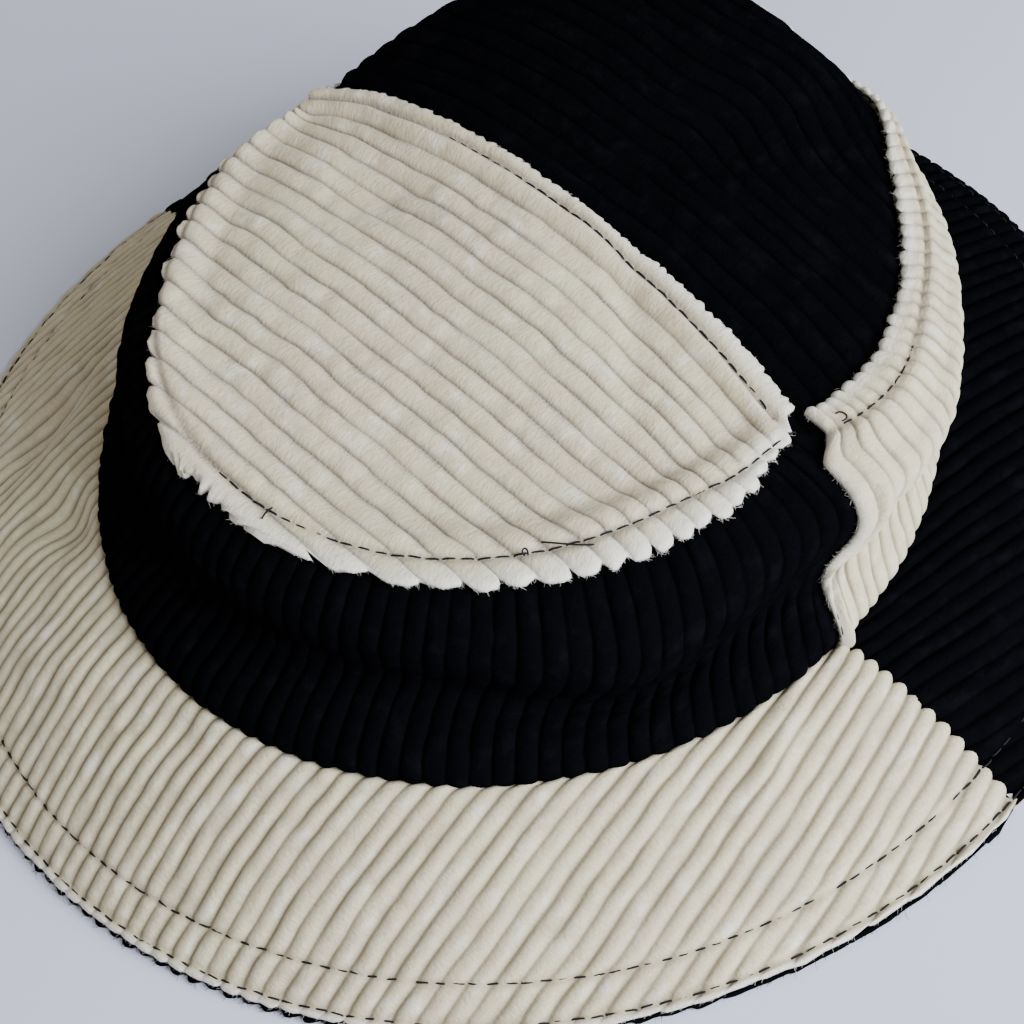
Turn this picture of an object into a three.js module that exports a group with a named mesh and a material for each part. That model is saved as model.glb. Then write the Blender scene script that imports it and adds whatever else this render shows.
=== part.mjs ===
// A two-tone corduroy bucket hat, lying on a table with its crown slumped.
// Millimetres, +Z up. The origin is on the table, under the middle of the brim.
// Wearer's front is -Y. The two side seams are on +X and -X.
//
// Every cloth panel is cut from one of two smooth surfaces, the crown and the brim.
// A panel is a box bent onto its surface, and a layer is set by its depth below it.

import * as THREE from 'three';
import { mergeVertices } from 'three/addons/utils/BufferGeometryUtils.js';

// ---- driving dimensions -------------------------------------------------------------
const TOP_RADIUS = 77;             // crown top, flat, from its middle to its seam
const BAND_HEIGHT = 70;            // side band, along the cloth
const FOOT = TOP_RADIUS + BAND_HEIGHT;
const TOP_RX = 71;                 // half axes of the crown top's seam as it lies
const TOP_RY = 82.5;
const TOP_X = -0.5;                // the slumped crown has slid back
const TOP_Y = 14.5;
const TOP_Z = 59;
const OPENING_RX = 95;             // half axes of the head opening, at the brim seam
const OPENING_RY = 93.5;
const OPENING_Y = -5.5;
const OPENING_Z = 26.7;
const SHOULDER = 6;                // half width of the soft bend over the crown top's seam
const BRIM_RX = 134;
const BRIM_RY = 137;
const BRIM_EDGE_Z = 3.9;           // top of the brim at its outer edge
const BRIM_FLAT = 0.95;            // past this share of its width the brim lies on the table
const BRIM_CURVE = 1.3;            // over 1, the brim falls faster towards its edge
const CREASE_Z = 31;               // heights that pull the band into its crease and lip
const LIP_Z = 42;

// Soft places that push the cloth out or in. Each is an angle, a width, both in degrees,
// and how far it pushes in millimetres.
const OPENING_SWELLS = [[222, 40, -9]];
const TOP_SWELLS = [[45, 18, 2], [86, 22, -5], [145, 22, 4], [182, 11, -2.5], [216, 20, -2.5], [345, 18, -3]];
const LIP_SWELLS = [[48, 26, -4.5], [12, 14, 2.5], [176, 20, -5]];
const LOW_FOLD = [[-31, 15, 1]];   // the front right, where the fold hangs lowest
const ROLL = [[122, 42, 10]];      // the back left, where the top rolls over its own edge

const CLOTH = 1.8;                 // corduroy
const LINING = 0.5;
const INTERFACING = 0.5;
const RIBBON = 0.8;
const THREAD_WIDE = 0.7;
const THREAD_THICK = 0.5;
const GAP = 0.3;                   // clear space between touching pieces
const LINING_DEPTH = CLOTH + 0.5;  // the lining hangs this far inside the crown's face
const LAP = 5;                     // raw edge of a cream panel, past its stitching
const LIFT = CLOTH + 0.4;          // how far a lapped edge rides above its neighbour

const CREAM = { color: 0xd2cdbf, roughness: 0.95, metalness: 0 };
const BLACK = { color: 0x0b0d10, roughness: 0.95, metalness: 0 };
const COTTON = { color: 0x1a1b1e, roughness: 0.85, metalness: 0 };
const WEB = { color: 0xc9c7c0, roughness: 0.9, metalness: 0 };
const TAPE = { color: 0x15161a, roughness: 0.7, metalness: 0 };
const THREAD = { color: 0x08090b, roughness: 0.6, metalness: 0 };

const hat = new THREE.Group();

// ---- small helpers ------------------------------------------------------------------
const rad = THREE.MathUtils.degToRad;
const lerp = THREE.MathUtils.lerp;

function smooth(a, b, x) {
  return THREE.MathUtils.smoothstep(x, a, b);
}

function vec(x, y, z) {
  return new THREE.Vector3(x, y, z);
}

// How far the listed soft places push at an angle.
function swell(angle, places) {
  return places.reduce((sum, [at, width, push]) => {
    const away = THREE.MathUtils.euclideanModulo(angle - rad(at) + Math.PI, 2 * Math.PI) - Math.PI;
    return sum + push * Math.exp(-((away / rad(width)) ** 2));
  }, 0);
}

// ---- the crown surface --------------------------------------------------------------
// Point of the crown top, at an angle and at a share of its even radius.
function topPoint(angle, evenShare) {
  const edge = Math.min(evenShare, 1) ** 3;
  const share = evenShare * (1 + (edge * swell(angle, TOP_SWELLS)) / TOP_RADIUS);
  const x = share * Math.cos(angle);
  const y = share * Math.sin(angle);
  const s = Math.min(share, 1.15);
  const dome = 1 - Math.min(share, 1) ** 2;
  const tilt = -7.6 * x;
  const warp = s ** 2 * (-2.6 * Math.cos(2 * angle) - 2.5 * Math.sin(2 * angle))
    + s ** 3 * (2.8 * Math.cos(3 * angle) - 1.5 * Math.sin(3 * angle));
  const z = TOP_Z + tilt + warp + dome * (5 - 1.8 * x);
  return vec(TOP_X + TOP_RX * x, TOP_Y + TOP_RY * y + 6 * dome, z);
}

// Point of the head opening, where the side band is sewn to the brim.
function openingPoint(angle) {
  const push = swell(angle, OPENING_SWELLS);
  const x = (OPENING_RX + push) * Math.cos(angle);
  const y = OPENING_Y + (OPENING_RY + push) * Math.sin(angle);
  return vec(x, y, OPENING_Z - 0.5 * Math.cos(2 * angle));
}

function bulge(angle) {
  const even = 11.5 + 4.5 * Math.cos(angle + rad(48)) + 1.2 * Math.cos(2 * angle);
  return even + 3 * swell(angle, LOW_FOLD) + swell(angle, LIP_SWELLS);
}

function creaseDepth(angle) {
  return 4.2 + 3.2 * Math.cos(angle + rad(95)) - 2.2 * swell(angle, LOW_FOLD);
}

// Corners of the Bezier curve that the side band follows from the brim up to the top.
// The slumped band runs up from the brim, in to a crease, and out over a soft lip.
function bandCorners(angle) {
  const out = vec(Math.cos(angle), Math.sin(angle), 0);
  const foot = openingPoint(angle);
  const head = topPoint(angle, 1);
  const middle = foot.clone().lerp(head, 0.5);
  const sag = swell(angle, LOW_FOLD);
  const crease = creaseDepth(angle);
  const lip = bulge(angle);
  const at = (base, push, z) => base.clone().addScaledVector(out, push).setZ(z);
  return [
    foot,
    at(foot, -2 * sag, foot.z + 12 + 0.3 * crease - sag),
    at(middle, -4 - 3.2 * crease, CREASE_Z - 7 * sag),
    at(head, 4 + 1.9 * lip, LIP_Z + 0.1 * (head.z - 55) - 10 * sag),
    at(head, 1.25 * lip, head.z - 0.8),
    head,
  ];
}

// Point of the side band: up is 0 at the brim seam and 1 at the crown top's seam.
const BEZIER_WEIGHTS = [1, 5, 10, 10, 5, 1];
function bandPoint(angle, up) {
  const corners = bandCorners(angle);
  const last = corners.length - 1;
  const held = THREE.MathUtils.clamp(up, 0, 1);
  const point = vec(0, 0, 0);
  corners.forEach((corner, i) => {
    point.addScaledVector(corner, BEZIER_WEIGHTS[i] * held ** i * (1 - held) ** (last - i));
  });
  const from = up > 1 ? last - 1 : 0;
  const slope = corners[from + 1].clone().sub(corners[from]).multiplyScalar(last);
  return point.addScaledVector(slope, up - held);
}

// The crown is laid out flat round the middle of its top: x and y are distances along
// the cloth. Inside TOP_RADIUS it is the top, and outside it is the side band.
function crownPoint(x, y) {
  const angle = Math.atan2(y, x);
  const even = Math.hypot(x, y);
  const rolled = smooth(10, TOP_RADIUS, even) * (1 - smooth(TOP_RADIUS, FOOT, even));
  const reach = even + rolled * swell(angle, ROLL);
  const share = smooth(TOP_RADIUS - SHOULDER, TOP_RADIUS + SHOULDER, reach);
  if (share === 0) return topPoint(angle, reach / TOP_RADIUS);
  const side = bandPoint(angle, 1 - (reach - TOP_RADIUS) / BAND_HEIGHT);
  return share === 1 ? side : topPoint(angle, reach / TOP_RADIUS).lerp(side, share);
}

// ---- the brim surface ---------------------------------------------------------------
// out is 0 at the head opening and 1 at the outer edge.
function brimPoint(angle, out) {
  const inner = openingPoint(angle);
  const fallen = THREE.MathUtils.clamp(out / BRIM_FLAT, 0, 1);
  const wave = 1.2 * Math.sin(3 * angle + 0.6) + 0.7 * Math.sin(5 * angle + 1);
  return vec(
    lerp(inner.x, BRIM_RX * Math.cos(angle), out),
    lerp(inner.y, BRIM_RY * Math.sin(angle), out),
    lerp(inner.z, BRIM_EDGE_Z, fallen ** BRIM_CURVE) + wave * Math.sin(Math.PI * fallen),
  );
}

// Move a surface point along its normal, worked out from two nearby points.
function offset(surface, a, b, depth, stepA, stepB) {
  const middle = surface(a, b);
  const along = surface(a + stepA, b).sub(surface(a - stepA, b));
  const across = surface(a, b + stepB).sub(surface(a, b - stepB));
  return middle.addScaledVector(along.cross(across).normalize(), depth);
}

function onCrown(x, y, depth) {
  return offset(crownPoint, x, y, depth, 0.8, 0.8);
}

function onBrim(angle, out, depth) {
  const point = offset(brimPoint, angle, out, -depth, 0.01, 0.01);
  point.z = Math.max(0, point.z);
  return point;
}

// ---- panels -------------------------------------------------------------------------
// Bend a box of along x across cells into a panel; place gives each corner's point.
function panel(name, look, along, across, place) {
  const box = new THREE.BoxGeometry(1, 1, 1, along, across, 1);
  box.deleteAttribute('normal');
  box.deleteAttribute('uv');
  const geometry = mergeVertices(box, 1e-5);
  const position = geometry.getAttribute('position');
  for (let i = 0; i < position.count; i += 1) {
    const point = place(position.getX(i) + 0.5, position.getY(i) + 0.5, position.getZ(i) + 0.5);
    position.setXYZ(i, point.x, point.y, point.z);
  }
  geometry.computeVertexNormals();
  const mesh = new THREE.Mesh(geometry, new THREE.MeshStandardMaterial(look));
  mesh.name = name;
  hat.add(mesh);
}

const HALF_CELLS = 24;             // cells round half the hat
const BAND_CELLS = 13;             // cells up the side band

// A crown top piece: columns run front to back, and rows follow the listed lines.
// Each row is a function of the column's x that gives y.
function topPanel(name, look, reach, rows, depthAt) {
  const count = rows.length - 1;
  panel(name, look, HALF_CELLS, count, (u, v, w) => {
    const x = -reach * Math.cos(Math.PI * lerp(0.012, 0.988, u));
    const y = rows[Math.round(v * count)](x);
    return onCrown(x, y, depthAt(x, y, w));
  });
}

// A row at a given radius, kept in order where the column is short.
function ring(radius, floor, side) {
  return (x) => side * Math.sqrt(Math.max(radius ** 2 - x ** 2, floor ** 2));
}

// A row of the cream half, whose raw edge draws in to a corner at each side seam.
const CORNER = TOP_RADIUS - 2;
function corneredRing(radius, floor) {
  return (x) => {
    const open = 1 - smooth(CORNER - 3, CORNER, Math.abs(x));
    return -Math.max(floor, Math.sqrt(open * Math.max(radius ** 2 - x ** 2, 0)));
  };
}

// How near a place is to the side seams, from 0 to 1.
function cornering(y) {
  return 1 - smooth(0, 28, Math.abs(y));
}

function line(y) {
  return () => y;
}

// Height of a lapped raw edge above the surface, from 0 to LIFT.
function lapLift(x, y) {
  const inward = 4 * cornering(y);
  const edge = smooth(TOP_RADIUS - 8 - inward, TOP_RADIUS - 1 - inward, Math.hypot(x, y));
  const seam = smooth(-7, -1, y);
  return LIFT * (1 - (1 - edge) * (1 - seam));
}

// The cream half of the top laps over the black half and over the black band.
function creamSeamEdge(x) {
  return lerp(LAP - 0.5, -0.9, smooth(TOP_RADIUS - 14, TOP_RADIUS - 4, Math.abs(x)));
}
topPanel('crown_top_cream', CREAM, CORNER, [
  corneredRing(TOP_RADIUS + LAP, 2.8),
  corneredRing(TOP_RADIUS, 2.6),
  corneredRing(TOP_RADIUS - 4, 2.4),
  corneredRing(TOP_RADIUS - 9, 2.2),
  corneredRing(TOP_RADIUS - 14, 2.1),
  corneredRing(TOP_RADIUS - 22, 2.0),
  corneredRing(TOP_RADIUS - 38, 1.8),
  corneredRing(20, 1.6),
  corneredRing(7, 1.4),
  (x) => Math.min(-1.2, creamSeamEdge(x) - 0.3),
  creamSeamEdge,
], (x, y, w) => lapLift(x, y) - CLOTH * (1 - w));

// The black half is pressed down where the cream band laps over it.
topPanel('crown_top_black', BLACK, TOP_RADIUS - GAP, [
  line(GAP),
  ring(7, 0.8, 1),
  ring(20, 1.2, 1),
  ring(TOP_RADIUS - 38, 1.6, 1),
  ring(TOP_RADIUS - 22, 2.0, 1),
  ring(TOP_RADIUS - 14, 2.2, 1),
  ring(TOP_RADIUS - 9, 2.4, 1),
  ring(TOP_RADIUS - 4, 2.8, 1),
  ring(TOP_RADIUS - GAP, 3.2, 1),
], (x, y, w) => -CLOTH * (1 - w) - GAP * smooth(TOP_RADIUS - 12, TOP_RADIUS - 6, Math.hypot(x, y)));

topPanel('lining_top', COTTON, TOP_RADIUS - 4, [
  ring(TOP_RADIUS - 4, 2.8, -1),
  ring(TOP_RADIUS - 9, 2.4, -1),
  ring(TOP_RADIUS - 14, 2.2, -1),
  ring(TOP_RADIUS - 22, 2.0, -1),
  ring(TOP_RADIUS - 38, 1.6, -1),
  ring(20, 1.2, -1),
  line(0),
  ring(20, 1.2, 1),
  ring(TOP_RADIUS - 38, 1.6, 1),
  ring(TOP_RADIUS - 22, 2.0, 1),
  ring(TOP_RADIUS - 14, 2.2, 1),
  ring(TOP_RADIUS - 9, 2.4, 1),
  ring(TOP_RADIUS - 4, 2.8, 1),
], (x, y, w) => -LINING_DEPTH - GAP - LINING * (1 - w));

// A side band piece: angleAt gives its edges at a given reach, depthAt its depth below the
// surface, and tuckAt how far a place is moved in towards the middle of the top.
function sidePanel(name, look, cells, rows, angleAt, depthAt, tuckAt = () => 0) {
  panel(name, look, cells, rows.length - 1, (u, v, w) => {
    const reach = rows[Math.round(v * (rows.length - 1))];
    const angle = angleAt(u, reach);
    const moved = reach - tuckAt(angle, reach);
    const depth = depthAt(angle, reach, w);
    return onCrown(moved * Math.cos(angle), moved * Math.sin(angle), depth);
  });
}

// Rows of the side band, from the brim seam up to the top, at even steps.
const FOOT_CLEAR = 1.6;            // the band stops this far above the brim
function bandRows(last) {
  const rows = [];
  for (let i = 0; i < BAND_CELLS; i += 1) rows.push(FOOT - (BAND_HEIGHT * i) / BAND_CELLS);
  rows[0] = FOOT - FOOT_CLEAR;
  return rows.concat(last);
}

// The black half of the band, below the cream half of the top. Its upper corners reach in
// under the cream top's corners.
sidePanel('side_band_black', BLACK, HALF_CELLS, bandRows([TOP_RADIUS + GAP]),
  (u, reach) => lerp(Math.PI + GAP / reach, 2 * Math.PI - GAP / reach, u),
  (angle, reach, w) => -CLOTH * (1 - w),
  (angle, reach) => (reach < TOP_RADIUS + 1 ? 3.5 * cornering(reach * Math.sin(angle)) : 0));

// The cream half laps over the black half at both side seams, and over the black top.
// The lap narrows to nothing at the brim, and stops short of the cream top's corners.
function creamSideLap(reach) {
  const lap = lerp(-0.8, LAP, smooth(TOP_RADIUS - 1, TOP_RADIUS + 5, reach));
  return lap * (1 - 0.9 * smooth(FOOT - 29, FOOT - 4, reach));
}
sidePanel('side_band_cream', CREAM, HALF_CELLS, bandRows([TOP_RADIUS, TOP_RADIUS - LAP]),
  (u, reach) => {
    const cell = Math.min(u, 1 - u) * HALF_CELLS;
    const lap = -creamSideLap(reach) / reach;
    const step = 1 / reach;
    const settled = 7 / reach;
    let angle = lerp(settled, Math.PI / 2, (cell - 2) / (HALF_CELLS / 2 - 2));
    if (cell < 1) angle = lerp(lap, Math.max(lap, 0) + step, cell);
    else if (cell < 2) angle = lerp(Math.max(lap, 0) + step, settled, cell - 1);
    return u < 0.5 ? angle : Math.PI - angle;
  },
  (angle, reach, w) => {
    const top = 1 - smooth(TOP_RADIUS + 1, TOP_RADIUS + 8, reach);
    const seamAway = reach * Math.min(angle, Math.PI - angle);
    const side = 1 - smooth(1, 7, seamAway);
    return LIFT * (1 - (1 - top) * (1 - side)) - CLOTH * (1 - w);
  });

for (const [name, start] of [['lining_side_front', Math.PI], ['lining_side_back', 0]]) {
  sidePanel(name, COTTON, HALF_CELLS, bandRows([TOP_RADIUS + 2]),
    (u, reach) => lerp(start + 0.5 / reach, start + Math.PI - 0.5 / reach, u),
    (angle, reach, w) => -LINING_DEPTH - LINING * (1 - w));
}

// The sweatband is a ribbon sewn in at the brim seam, with its ends meeting at the back.
const RIBBON_DEPTH = LINING_DEPTH + LINING + 0.2;
const RIBBON_ROWS = [0, 1, 2].map((i) => FOOT - (BAND_HEIGHT * i) / BAND_CELLS);
sidePanel('sweatband', TAPE, 2 * HALF_CELLS, RIBBON_ROWS,
  (u, reach) => lerp(Math.PI / 2 + 0.5 / reach, 2.5 * Math.PI - 0.5 / reach, u),
  (angle, reach, w) => -RIBBON_DEPTH - RIBBON * (1 - w));

// ---- brim ---------------------------------------------------------------------------
const BRIM_WIDTH = 48;             // along the cloth, from the seam to the edge
const BRIM_TUCK = 0.01;            // share of the brim that reaches in under the band
const UNDER_DEPTH = CLOTH + INTERFACING + 0.6;

// A brim piece: half the brim, from its outer edge in to the head opening.
function brimPanel(name, look, start, inner, outer, top, thick) {
  const gap = 0.4 / BRIM_RX;
  const rows = [outer, 0.95, 0.85, 0.65, 0.4, 0.2, inner];
  const count = rows.length - 1;
  panel(name, look, HALF_CELLS, count, (u, v, w) => {
    const angle = lerp(start + gap, start + Math.PI - gap, u);
    return onBrim(angle, rows[Math.round(v * count)], -top - thick * (1 - w));
  });
}

for (const [half, start, upper, under] of [
  ['front', Math.PI, ['brim_upper_cream', CREAM], ['brim_under_black', BLACK]],
  ['back', 0, ['brim_upper_black', BLACK], ['brim_under_cream', CREAM]],
]) {
  brimPanel(upper[0], upper[1], start, -BRIM_TUCK, 0.99, 0, CLOTH);
  brimPanel(`brim_interfacing_${half}`, WEB, start, 0, 0.97, CLOTH + GAP, INTERFACING);
  brimPanel(under[0], under[1], start, -BRIM_TUCK, 1, UNDER_DEPTH, CLOTH);
}

// ---- stitching ----------------------------------------------------------------------
// A row of stitches is one flat ribbon of thread lying just clear of its cloth.
function crownStitch(name, cells, pathAt, base) {
  panel(name, THREAD, cells, 1, (u, v, w) => {
    const [x, y, acrossX, acrossY] = pathAt(u);
    const side = (v - 0.5) * THREAD_WIDE;
    return onCrown(x + side * acrossX, y + side * acrossY, base + THREAD_THICK * w);
  });
}

const THREAD_CLEAR = 0.5;
const LAPPED = LIFT + THREAD_CLEAR;
const CENTRE_REACH = TOP_RADIUS - 16;
crownStitch('centre_stitching', 20,
  (u) => [lerp(-CENTRE_REACH, CENTRE_REACH, u), 0, 0, 1], LAPPED);

for (const [name, from, to] of [['crown_stitching_front', 183, 357], ['crown_stitching_back', 4, 176]]) {
  crownStitch(name, HALF_CELLS, (u) => {
    const angle = rad(lerp(to, from, u));
    const x = Math.cos(angle);
    const y = Math.sin(angle);
    const reach = TOP_RADIUS - (y < 0 ? 4 * cornering(TOP_RADIUS * y) : 0);
    return [reach * x, reach * y, x, y];
  }, LAPPED);
}

for (const [name, angle] of [['side_stitching_left', Math.PI], ['side_stitching_right', 0]]) {
  crownStitch(name, BAND_CELLS, (u) => {
    const reach = lerp(FOOT - 3, TOP_RADIUS + 14, u);
    const side = Math.cos(angle);
    return [reach * side, 0, 0, -side];
  }, LAPPED);
}

for (const [half, start] of [['front', Math.PI], ['back', 0]]) {
  crownStitch(`sweatband_stitching_${half}`, HALF_CELLS, (u) => {
    const angle = start + lerp(Math.PI - 0.02, 0.02, u);
    const x = Math.cos(angle);
    const y = Math.sin(angle);
    return [(FOOT - 3) * x, (FOOT - 3) * y, x, y];
  }, -RIBBON_DEPTH - RIBBON - GAP - THREAD_THICK);
}

for (const [name, inset] of [['brim_stitching_inner', 9.4], ['brim_stitching_outer', 2]]) {
  panel(name, THREAD, 2 * HALF_CELLS, 1, (u, v, w) => {
    const angle = lerp(0.01, 2 * Math.PI - 0.01, u);
    const out = 1 - (inset + (v - 0.5) * THREAD_WIDE) / BRIM_WIDTH;
    return onBrim(angle, out, THREAD_CLEAR + THREAD_THICK * w);
  });
}

export default hat;
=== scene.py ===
"""A two-tone corduroy bucket hat, lying on a table with its crown slumped.

Every cloth panel is a real sheet with its own wales. A panel is laid out flat, its wales run
along one flat direction, and the flat sheet is then laid on the crown or on the brim.
Lengths are in millimetres until a mesh is made.
"""

import math

import bpy
import numpy as np
from mathutils import Matrix, Vector


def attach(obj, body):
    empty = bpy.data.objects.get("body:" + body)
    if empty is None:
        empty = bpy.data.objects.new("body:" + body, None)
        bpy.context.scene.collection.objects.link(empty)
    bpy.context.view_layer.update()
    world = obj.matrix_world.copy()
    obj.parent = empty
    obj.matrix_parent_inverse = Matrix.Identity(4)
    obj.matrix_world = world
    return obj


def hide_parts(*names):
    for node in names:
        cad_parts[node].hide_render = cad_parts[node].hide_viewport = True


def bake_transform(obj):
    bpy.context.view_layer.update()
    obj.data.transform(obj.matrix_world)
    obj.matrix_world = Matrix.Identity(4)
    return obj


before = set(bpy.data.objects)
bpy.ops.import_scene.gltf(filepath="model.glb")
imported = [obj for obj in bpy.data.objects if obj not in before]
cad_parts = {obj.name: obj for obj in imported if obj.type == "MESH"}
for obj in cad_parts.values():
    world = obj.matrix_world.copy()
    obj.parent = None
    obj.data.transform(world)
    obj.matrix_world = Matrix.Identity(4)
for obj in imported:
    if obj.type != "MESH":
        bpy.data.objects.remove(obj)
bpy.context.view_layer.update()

MM = 0.001
PI = math.pi

# ---- the hat's own sizes --------------------------------------------------------------
TOP_RADIUS = 77.0          # crown top, flat, from its middle to its seam
BAND_HEIGHT = 70.0
FOOT = TOP_RADIUS + BAND_HEIGHT
TOP_RX, TOP_RY = 71.0, 82.5
TOP_X, TOP_Y, TOP_Z = -0.5, 14.5, 59.0
OPENING_RX, OPENING_RY = 95.0, 93.5
OPENING_Y, OPENING_Z = -5.5, 26.7
SHOULDER = 6.0
CREASE_Z, LIP_Z = 31.0, 42.0
BRIM_RX, BRIM_RY = 134.0, 137.0
BRIM_EDGE_Z = 3.9
BRIM_WIDTH = 48.0
BRIM_FLAT, BRIM_CURVE = 0.95, 1.3      # past this share of its width the brim lies flat

# Soft places round the hat. Each has its angle and width in degrees, and its push in mm.
OPENING_SWELLS = ((222, 40, -9),)
TOP_SWELLS = ((45, 18, 2), (86, 22, -5), (145, 22, 4), (182, 11, -2.5), (216, 20, -2.5), (345, 18, -3))
LIP_SWELLS = ((48, 26, -4.5), (12, 14, 2.5), (176, 20, -5))
LOW_FOLD = ((-31, 15, 1),)
# Where the crown top has rolled over its edge.
ROLL = ((128, 42, 14), (82, 17, 14), (168, 18, 11), (14, 22, 4.4))

# ---- cloth ----------------------------------------------------------------------------
CLOTH = 1.8                # corduroy: its ground weave and the pile on it
GROUND = 0.6
PILE = CLOTH - GROUND
PITCH = 4.72               # from one wale to the next, along the middle of the crown
TIGHTENING = 0.0213        # each wale further out is narrower by twice this
BRIM_PITCH = 3.8
LAP = 5.0                  # raw edge of a cream panel, past its stitching
LIFT = 2.2                 # a lapped edge rides this far above its neighbour
LINING, LINING_DEPTH = 0.5, 2.3
TAPE, TAPE_DEPTH = 0.8, 3.0
INTERFACING = 0.5
UNDER_DEPTH = 2.9          # the under brim starts this far below the upper face
BAND_WALES = 68            # wales round half the side band
THREAD_RADIUS = 0.2
STITCH = 3.2               # length of one stitch
BRIM_ROWS = (9.4, 2.0)     # stitch rows, from the brim's outer edge

# Under a stitch row the pile loses this share of its height, and the cloth sinks this far.
TOP_PULL, BAND_PULL, BRIM_PULL = (0.6, 0.45), (0.65, 0.5), (0.45, 0.3)


# ---- small helpers --------------------------------------------------------------------
def smooth(low, high, x):
    t = np.clip((x - low) / (high - low), 0, 1)
    return t * t * (3 - 2 * t)


def fade(low, high, x):
    return 1 - smooth(low, high, x)


def lerp(a, b, t):
    return a + (b - a) * t


def near(distance, width):
    """A soft bump, 1 at distance 0 and fading over width."""
    return np.exp(-((distance / width) ** 2))


def noise(x, y, seed):
    """Smooth noise from -1 to 1, with features about one unit apart."""
    x, y = np.broadcast_arrays(np.asarray(x, float), np.asarray(y, float))
    column, row = np.floor(x).astype(np.int64), np.floor(y).astype(np.int64)
    fx, fy = x - column, y - row
    fx, fy = fx * fx * (3 - 2 * fx), fy * fy * (3 - 2 * fy)

    def corner(i, j):
        mask = np.int64(0xFFFFFFFF)
        n = ((column + i) * 374761393 + (row + j) * 668265263 + seed * 974634777) & mask
        n = ((n ^ (n >> 13)) * 1274126177) & mask
        return ((n ^ (n >> 16)) & mask) / 2147483648.0 - 1.0

    low = lerp(corner(0, 0), corner(1, 0), fx)
    high = lerp(corner(0, 1), corner(1, 1), fx)
    return lerp(low, high, fy)


# ---- the crown surface ----------------------------------------------------------------
def swell(angle, places):
    """How far the listed soft places push at an angle."""
    total = 0 * angle
    for at, width, push in places:
        away = (np.degrees(angle) - at + 180) % 360 - 180
        total = total + push * near(away, width)
    return total


def top_point(angle, even_share):
    """Point of the crown top, at an angle and at a share of its even radius."""
    edge = np.minimum(even_share, 1) ** 3
    share = even_share * (1 + edge * swell(angle, TOP_SWELLS) / TOP_RADIUS)
    x, y = share * np.cos(angle), share * np.sin(angle)
    s = np.minimum(share, 1.15)
    dome = 1 - np.minimum(share, 1) ** 2
    warp = s**2 * (-2.6 * np.cos(2 * angle) - 2.5 * np.sin(2 * angle))
    warp = warp + s**3 * (2.8 * np.cos(3 * angle) - 1.5 * np.sin(3 * angle))
    z = TOP_Z - 7.6 * x + warp + dome * (5 - 1.8 * x)
    return np.stack([TOP_X + TOP_RX * x, TOP_Y + TOP_RY * y + 6 * dome, z], -1)


def opening_point(angle):
    """Point of the head opening, where the side band is sewn to the brim."""
    push = swell(angle, OPENING_SWELLS)
    x = (OPENING_RX + push) * np.cos(angle)
    y = OPENING_Y + (OPENING_RY + push) * np.sin(angle)
    return np.stack([x, y, OPENING_Z - 0.5 * np.cos(2 * angle)], -1)


def band_corners(angle):
    """Corners of the Bezier curve that the side band follows, from the brim to the top."""
    out = np.stack([np.cos(angle), np.sin(angle), 0 * angle], -1)
    foot, head = opening_point(angle), top_point(angle, np.ones_like(angle))
    sag = swell(angle, LOW_FOLD)
    lip = 11.5 + 4.5 * np.cos(angle + math.radians(48)) + 1.2 * np.cos(2 * angle)
    lip = lip + 3 * sag + swell(angle, LIP_SWELLS)
    crease = 4.2 + 3.2 * np.cos(angle + math.radians(95)) - 2.2 * sag

    def at(base, push, z):
        moved = base + out * push[..., None]
        moved[..., 2] = z
        return moved

    head_z = head[..., 2]
    return [
        foot,
        at(foot, -2 * sag, foot[..., 2] + 12 + 0.3 * crease - sag),
        at(lerp(foot, head, 0.5), -4 - 3.2 * crease, CREASE_Z - 7 * sag),
        at(head, 4 + 1.9 * lip, LIP_Z + 0.1 * (head_z - 55) - 10 * sag),
        at(head, 1.25 * lip, head_z - 0.8),
        head,
    ]


def band_point(angle, up):
    """Point of the side band: up is 0 at the brim seam and 1 at the crown top's seam."""
    corners = band_corners(angle)
    last = len(corners) - 1
    held = np.clip(up, 0, 1)
    point = 0
    for i, corner in enumerate(corners):
        weight = math.comb(last, i) * held**i * (1 - held) ** (last - i)
        point = point + corner * weight[..., None]
    past = (up - held)[..., None] * last
    slope = np.where(past > 0, corners[-1] - corners[-2], corners[1] - corners[0])
    return point + past * slope


def crown_point(x, y):
    """The crown, laid out flat round the middle of its top: inside TOP_RADIUS it is the top."""
    angle, even = np.arctan2(y, x), np.hypot(x, y)
    rolled = smooth(10, TOP_RADIUS, even) * fade(TOP_RADIUS, FOOT, even)
    reach = even + rolled * swell(angle, ROLL)
    share = smooth(TOP_RADIUS - SHOULDER, TOP_RADIUS + SHOULDER, reach)[..., None]
    side = band_point(angle, 1 - (reach - TOP_RADIUS) / BAND_HEIGHT)
    return lerp(top_point(angle, reach / TOP_RADIUS), side, share)


def brim_point(angle, out):
    """The brim: out is 0 at the head opening and 1 at the outer edge."""
    inner = opening_point(angle)
    fallen = np.clip(out / BRIM_FLAT, 0, 1)
    wave = 1.2 * np.sin(3 * angle + 0.6) + 0.7 * np.sin(5 * angle + 1)
    return np.stack([
        lerp(inner[..., 0], BRIM_RX * np.cos(angle), out),
        lerp(inner[..., 1], BRIM_RY * np.sin(angle), out),
        lerp(inner[..., 2], BRIM_EDGE_Z, fallen**BRIM_CURVE) + np.sin(PI * fallen) * wave,
    ], -1)


def lay(surface, a, b, step_a, step_b, flip=1):
    """Points of a surface and its outward normals."""
    along = surface(a + step_a, b) - surface(a - step_a, b)
    across = surface(a, b + step_b) - surface(a, b - step_b)
    normal = np.cross(along, across) * flip
    normal /= np.linalg.norm(normal, axis=-1, keepdims=True)
    return surface(a, b), normal


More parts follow.
